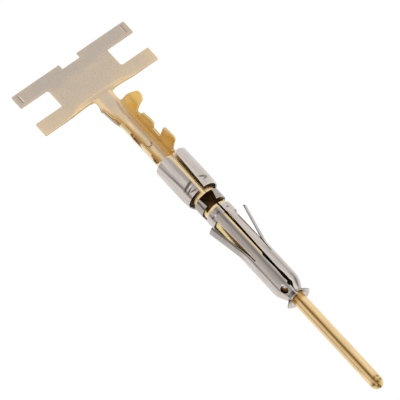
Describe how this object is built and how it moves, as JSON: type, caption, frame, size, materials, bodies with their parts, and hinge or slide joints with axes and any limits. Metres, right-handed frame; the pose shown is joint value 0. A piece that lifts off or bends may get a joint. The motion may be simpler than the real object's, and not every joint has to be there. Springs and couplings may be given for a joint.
{
  "type": "crimp pin contact",
  "caption": "Stamped and rolled gold plated crimp pin contact on its carrier tab, with open crimp wings and a slotted steel retention sleeve with two locking lances.",
  "frame": {"origin": "on the pin's axis, in the plane of the sleeve's front lip", "axes": "+X along the pin towards its tip, +Y along the carrier tab's arms, +Z the way the crimp wings open"},
  "size_m": [0.0362, 0.0108, 0.003],
  "materials": {
    "gold_plate": "satin gold plate",
    "stainless": "satin rolled stainless steel"
  },
  "bodies": {
    "root": {"contact_body": "gold_plate", "retention_sleeve": "stainless"}
  },
  "joints": []
}
